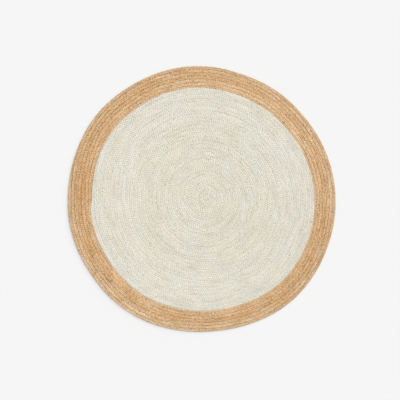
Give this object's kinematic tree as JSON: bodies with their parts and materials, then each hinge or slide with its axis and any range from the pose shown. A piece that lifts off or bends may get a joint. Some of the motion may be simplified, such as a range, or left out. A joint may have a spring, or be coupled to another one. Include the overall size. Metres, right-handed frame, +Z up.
{
  "type": "round braided jute rug",
  "caption": "Flat round rug of braided jute, coiled and sewn from the middle out, ivory with a natural tan border.",
  "frame": {"origin": "on the floor, under the middle of the rug's bounding box", "axes": "+Z up through the rug's thickness; +Y towards the top of the view from above, +X to its right"},
  "size_m": [1.5042, 1.492, 0.009],
  "materials": {
    "ivory_jute": "matte braided jute yarn, bleached to ivory",
    "natural_jute": "matte braided jute yarn, natural golden tan"
  },
  "bodies": {
    "root": {"ivory_braid_centre": "ivory_jute", "natural_braid_border": "natural_jute"}
  },
  "joints": []
}
